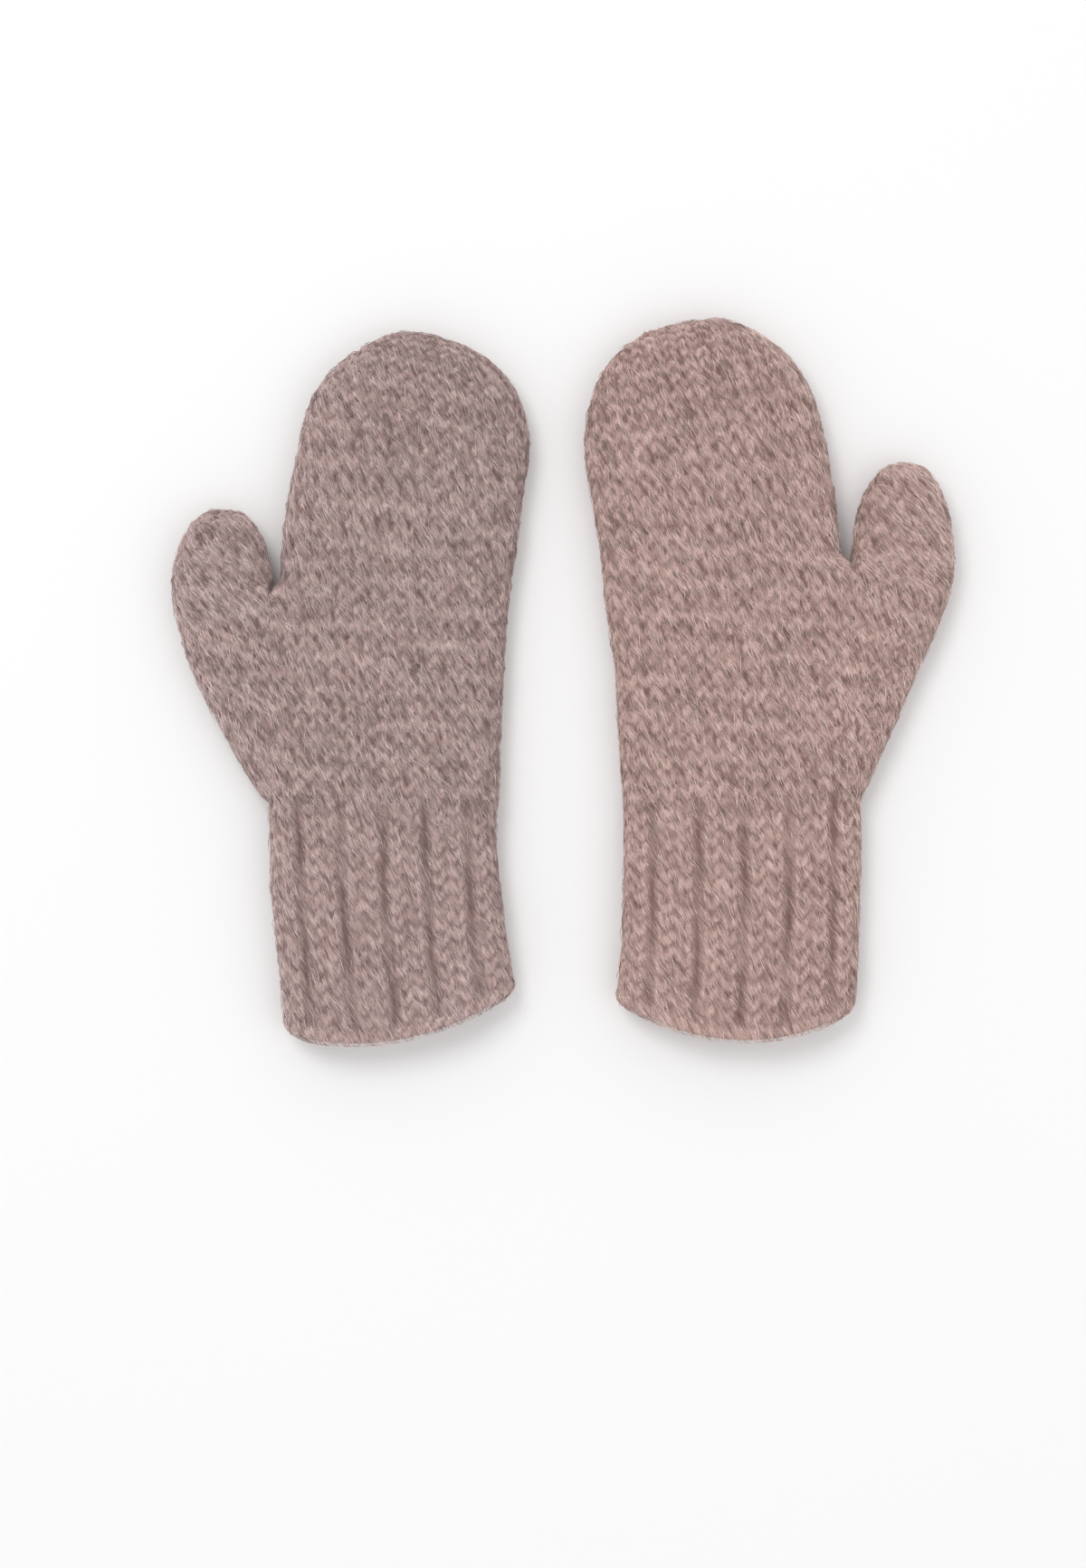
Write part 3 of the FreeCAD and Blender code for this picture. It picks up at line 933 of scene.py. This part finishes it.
# %% [markdown]
# ## Shared effects: heather and brushed streaks
# The yarn is spun from fibres of several tones, so its colour drifts from place to place, and
# the brushed surface has fine streaks along the comb. Both effects are used on both mittens,
# so each is a node group that is built once. It reads the place each point had when the
# mitten lay flat, which keeps the pattern still when the fabric folds.
# %% Node helpers
def new_group(name, inputs, outputs):
    """A shader node group with named inputs (name, type, default) and outputs (name, type)."""
    group = bpy.data.node_groups.new(name, "ShaderNodeTree")
    for label, kind, default in inputs:
        socket = group.interface.new_socket(label, in_out="INPUT", socket_type=kind)
        if default is not None:
            socket.default_value = default
    for label, kind in outputs:
        group.interface.new_socket(label, in_out="OUTPUT", socket_type=kind)
    return group, group.nodes.new("NodeGroupInput"), group.nodes.new("NodeGroupOutput")


def add(tree, kind, settings=None, **links):
    """A node with its settings, and with its inputs linked or given values by name."""
    node = tree.nodes.new(kind)
    for label, value in (settings or {}).items():
        setattr(node, label, value)
    for label, value in links.items():
        socket = node.inputs[int(label[1:])] if label[1:].isdigit() else node.inputs[label]
        if isinstance(value, bpy.types.NodeSocket):
            tree.links.new(value, socket)
        else:
            socket.default_value = value
    return node


def math_node(tree, operation, first, second):
    """The result of one sum on two values or sockets."""
    return add(tree, "ShaderNodeMath", {"operation": operation}, _0=first, _1=second).outputs[0]


def mix_colours(tree, factor, first, second, blend="MIX"):
    """Two colours mixed by a factor."""
    node = add(tree, "ShaderNodeMix", {"data_type": "RGBA", "blend_type": blend},
               _0=factor, _6=first, _7=second)
    return node.outputs[2]


def noise(tree, place, scale, detail, roughness=0.5, distortion=0.0):
    """Soft noise at a place, about 0.5 on average."""
    return add(tree, "ShaderNodeTexNoise", None, Vector=place, Scale=scale, Detail=detail,
               Roughness=roughness, Distortion=distortion).outputs["Fac"]


def stretch(tree, value, low, high, first=0.0, last=1.0):
    """A value stretched so that low becomes first and high becomes last."""
    return add(tree, "ShaderNodeMapRange", None, Value=value, _1=low, _2=high, _3=first,
               _4=last).outputs[0]


# %% Heather group
def build_heather():
    """Slow drifts of tone with fine flecks of single fibres."""
    group, inside, outside = new_group(
        "heather",
        [("Place", "NodeSocketVector", None), ("Base", "NodeSocketColor", (0.4, 0.3, 0.3, 1)),
         ("Shade", "NodeSocketColor", (0.2, 0.1, 0.1, 1)),
         ("Light", "NodeSocketColor", (0.6, 0.5, 0.5, 1)),
         ("Fleck", "NodeSocketFloat", 0.5)],
        [("Color", "NodeSocketColor")])
    place, shade = inside.outputs["Place"], inside.outputs["Shade"]
    slow = stretch(group, noise(group, place, 0.07, 3.0, 0.6), 0.3, 0.7)
    blotch = stretch(group, noise(group, place, 0.32, 2.0), 0.35, 0.62)
    fleck = stretch(group, noise(group, place, 1.9, 2.0), 0.5, 0.72)
    base = mix_colours(group, math_node(group, "MULTIPLY", slow, 0.22),
                       inside.outputs["Base"], shade)
    turned = math_node(group, "SUBTRACT", 1.0, blotch)
    mottled = mix_colours(group, math_node(group, "MULTIPLY", turned, 0.32), base, shade)
    amount = math_node(group, "MULTIPLY", fleck, inside.outputs["Fleck"])
    colour = mix_colours(group, amount, mottled, inside.outputs["Light"])
    group.links.new(colour, outside.inputs["Color"])
    return group


# %% Streak group
def build_streaks():
    """Fine brushed streaks along the comb, as a mask and as a height."""
    group, inside, outside = new_group(
        "brushed_streaks",
        [("Place", "NodeSocketVector", None), ("Angle", "NodeSocketFloat", 0.0)],
        [("Mask", "NodeSocketFloat"), ("Height", "NodeSocketFloat")])
    turned = add(group, "ShaderNodeVectorRotate", {"rotation_type": "Z_AXIS"},
                 Vector=inside.outputs["Place"], Angle=inside.outputs["Angle"])
    drawn = add(group, "ShaderNodeVectorMath", {"operation": "MULTIPLY"},
                _0=turned.outputs[0], _1=(1.5, 0.2, 1.0))
    streak = noise(group, drawn.outputs[0], 1.0, 3.0, 0.65, 0.6)
    group.links.new(stretch(group, streak, 0.36, 0.66), outside.inputs["Mask"])
    group.links.new(streak, outside.inputs["Height"])
    return group


heather = build_heather()
streaks = build_streaks()
print("shared groups:", heather.name, streaks.name)

# %% [markdown]
# ## The knitted fabric's material
# Wool scatters light softly, so it is rough, has no clear highlight, and lightens at grazing
# angles, which the sheen does. The valleys between stitches get painted shade, as little light
# gets in, and are darker as the nap is thin there. The relief and hollow attributes mark them.
# %% Fabric and hair materials
COMB_ANGLE = math.atan2(COMBED[0], -COMBED[1])
YARN_COLOURS = {
    "left": {"base": (0.55, 0.385, 0.36, 1.0), "shade": (0.215, 0.122, 0.112, 1.0),
             "light": (0.86, 0.70, 0.675, 1.0)},
    "right": {"base": (0.62, 0.42, 0.375, 1.0), "shade": (0.245, 0.130, 0.112, 1.0),
              "light": (0.92, 0.72, 0.67, 1.0)},
}
VALLEY_LOW = -2.4        # relief of the deepest valley and of the lowest fully lit fabric
VALLEY_HIGH = 1.0
PAINTED_VALLEY_SHADE = 0.45       # brightness that the painted shade leaves in the deepest valley
STREAK_TONE = 0.5        # share of the lightest and of the darkest streaks' own colour
PAINTED_HOLLOW_SHADE = 0.85       # share of the yarn's shade colour painted into a hollow as shade


def wool_material(name, roughness, colour=None):
    """A material of brushed wool with its nodes and its Principled BSDF."""
    material = bpy.data.materials.new(name)
    material.use_nodes = True
    tree = material.node_tree
    tree.nodes.clear()
    shader = tree.nodes.new("ShaderNodeBsdfPrincipled")
    output = tree.nodes.new("ShaderNodeOutputMaterial")
    tree.links.new(shader.outputs[0], output.inputs["Surface"])
    shader.inputs["Roughness"].default_value = roughness
    shader.inputs["Specular IOR Level"].default_value = 0.15
    shader.inputs["Sheen Weight"].default_value = 0.35
    shader.inputs["Sheen Roughness"].default_value = 0.45
    shader.inputs["Sheen Tint"].default_value = (0.95, 0.86, 0.84, 1.0)
    if colour is not None:
        shader.inputs["Base Color"].default_value = colour
    return material, tree, shader


def heathered(tree, place, colours, fleck):
    """The heathered colour of a mitten's yarn."""
    return add(tree, "ShaderNodeGroup", {"node_tree": heather}, Place=place,
               Base=colours["base"], Shade=colours["shade"], Light=colours["light"],
               Fleck=fleck).outputs["Color"]


def finish_surface(tree, shader, colour, height, strength, distance):
    """Gives a shader its colour and a bump from a height."""
    tree.links.new(colour, shader.inputs["Base Color"])
    bump = add(tree, "ShaderNodeBump", None, Strength=strength, Distance=distance, Height=height)
    tree.links.new(bump.outputs[0], shader.inputs["Normal"])


def fabric_material(name, colours, fleck):
    """Knitted fabric of the heathered yarn."""
    material, tree, shader = wool_material(name, 0.92)
    place = add(tree, "ShaderNodeAttribute", {"attribute_name": "rest_place"}).outputs["Vector"]
    relief = add(tree, "ShaderNodeAttribute", {"attribute_name": "relief"}).outputs["Fac"]
    hollow = add(tree, "ShaderNodeAttribute", {"attribute_name": "hollow"}).outputs["Fac"]
    brushed = add(tree, "ShaderNodeGroup", {"node_tree": streaks}, Place=place, Angle=-COMB_ANGLE)
    mask = brushed.outputs["Mask"]
    thin = math_node(tree, "SUBTRACT", 1.0, mask)
    colour = heathered(tree, place, colours, fleck)
    # The streaks are the yarn's own light and dark fibres; the hollows get painted shade in the
    # yarn's shade colour.
    for amount, share, tone in ((mask, STREAK_TONE, "light"), (thin, STREAK_TONE, "shade"),
                                (hollow, PAINTED_HOLLOW_SHADE, "shade")):
        factor = math_node(tree, "MULTIPLY", amount, share)
        colour = mix_colours(tree, factor, colour, colours[tone])
    # Painted shade: the colour darkens where the relief is low, in the valleys between stitches.
    valley = stretch(tree, relief, VALLEY_LOW, VALLEY_HIGH, PAINTED_VALLEY_SHADE, 1.0)
    colour = mix_colours(tree, 1.0, colour, valley, "MULTIPLY")
    finish_surface(tree, shader, colour, brushed.outputs["Height"], 0.5, 0.0006)
    return material


def hair_materials(hand, colours):
    """The tones of single hairs, from near the yarn's shade to its light colour."""
    tones = []
    shade, light = np.array(colours["shade"]), np.array(colours["light"])
    for step in range(TONES):
        share = 0.1 + 0.9 * (step / (TONES - 1))
        tone = tuple(shade + (light - shade) * share)
        tones.append(wool_material(f"{hand}_hair_tone_{step + 1}", 0.8, tone)[0])
    return tones


fabric = {hand: fabric_material(f"{hand}_heathered_wool", YARN_COLOURS[hand], 0.35)
          for hand in MITTENS}
hair_tones = {hand: hair_materials(hand, YARN_COLOURS[hand]) for hand in MITTENS}
for hand in MITTENS:
    for piece in knitting[hand].values():
        piece.data.materials.append(fabric[hand])
    for piece in naps[hand].values():
        for material in hair_tones[hand]:
            piece.data.materials.append(material)
print("materials:", len(bpy.data.materials))

# %% [markdown]
# ## The yarn ends
# Four ends of yarn are woven in on the inside of each mitten. The CAD's tubes are right for
# them, so they stay, and only get the yarn's material: two plies that wind round each other.
# %% Yarn material on the woven-in ends
def yarn_material(hand, colours):
    """Plied yarn: slanted dark lines of painted shade between the plies."""
    material, tree, shader = wool_material(f"{hand}_plied_yarn", 0.9)
    place = add(tree, "ShaderNodeTexCoord").outputs["Object"]
    scaled = add(tree, "ShaderNodeVectorMath", {"operation": "SCALE"}, _0=place,
                 _3=1 / MM).outputs[0]
    plies = add(tree, "ShaderNodeTexWave", {"bands_direction": "DIAGONAL"},
                Vector=scaled, Scale=0.11, Distortion=1.2, Detail=2.0).outputs["Fac"]
    tone = heathered(tree, scaled, colours, 0.5)
    # Painted shade: the yarn's shade colour in the grooves between the plies.
    colour = mix_colours(tree, plies, colours["shade"], tone)
    finish_surface(tree, shader, colour, plies, 0.8, 0.0008)
    return material


for hand in MITTENS:
    yarn = yarn_material(hand, YARN_COLOURS[hand])
    for node, thing in frame["nodes"].items():
        if node.startswith(hand) and node.endswith("yarn_end"):
            thing.data.materials.clear()
            thing.data.materials.append(yarn)
print("woven-in ends:", sum(node.endswith("yarn_end") for node in frame["nodes"]))

# %% [markdown]
# ## Bodies and the CAD's shells
# Fabric has no hinge pin, it just bends. The hand's knitted piece is attached to the hand's
# body, and the other pieces and all the nap are left where they lie, with their places baked
# in. The CAD nodes that each piece stands for are hidden.
# %% Attach the hand and hide the CAD shells
REPLACED = {
    "cuff": ("cast_on_edge", "ribbed_cuff"),
    "hand": ("palm", "thumb_gusset"),
    "fingers": ("finger_pocket", "crown", "crown_gather"),
    "thumb": ("thumb_picked_up_round", "thumb_tube", "thumb_gather"),
}


for hand in MITTENS:
    for section, piece in knitting[hand].items():
        nap = naps[hand][section]
        if section == "hand":
            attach(piece, f"{hand}_hand")
            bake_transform(nap)
        else:
            for soft in (piece, nap):
                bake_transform(soft)
        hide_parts(*[f"{hand}_{node}" for node in REPLACED[section]])

# %% [markdown]
# ## Floor and light
# A pale, plain floor, a large soft light above, a weaker fill light and a bright, even
# surround give the flat light of a shop's table, with a faint shadow that grounds the pair.
# %% Stage
def stage_floor():
    """A wide pale floor under the pair."""
    mesh = bpy.data.meshes.new("floor")
    reach = 40.0
    corners = [(-reach, -reach, 0.0), (reach, -reach, 0.0), (reach, reach, 0.0),
               (-reach, reach, 0.0)]
    mesh.from_pydata(corners, [], [(0, 1, 2, 3)])
    floor = bpy.data.objects.new("floor", mesh)
    floor.location = (pair_middle.x, pair_middle.y, cad_low.z - 0.0004)
    bpy.context.scene.collection.objects.link(floor)
    material = bpy.data.materials.new("pale_floor")
    material.use_nodes = True
    shader = material.node_tree.nodes["Principled BSDF"]
    shader.inputs["Base Color"].default_value = (0.93, 0.93, 0.93, 1.0)
    shader.inputs["Roughness"].default_value = 0.9
    mesh.materials.append(material)
    return floor


def soft_light(name, place, size, watts):
    """A square area light that looks at the pair."""
    data = bpy.data.lights.new(name, "AREA")
    data.size = size
    data.energy = watts
    light = bpy.data.objects.new(name, data)
    light.location = place
    aim = Vector((pair_middle.x, pair_middle.y, 0.0)) - Vector(place)
    light.rotation_euler = aim.to_track_quat("-Z", "Y").to_euler()
    bpy.context.scene.collection.objects.link(light)
    return light


world = bpy.data.worlds.new("bright_surround")
world.use_nodes = True
world.node_tree.nodes["Background"].inputs["Color"].default_value = (1.0, 1.0, 1.0, 1.0)
world.node_tree.nodes["Background"].inputs["Strength"].default_value = 0.78
bpy.context.scene.world = world
key = soft_light("large_soft_light", (-0.7, 0.9, 1.9), 1.0, 14.0)
fill = soft_light("fill_light", (1.1, -0.5, 1.5), 1.4, 3.0)
stage_floor()
bpy.context.scene.view_settings.view_transform = "Standard"
bpy.context.scene.view_settings.look = "None"

# %% [markdown]
# ## The end
# The pieces must stay in the CAD's box, apart from the little that fabric and nap stand proud.
# %% Finish
import json
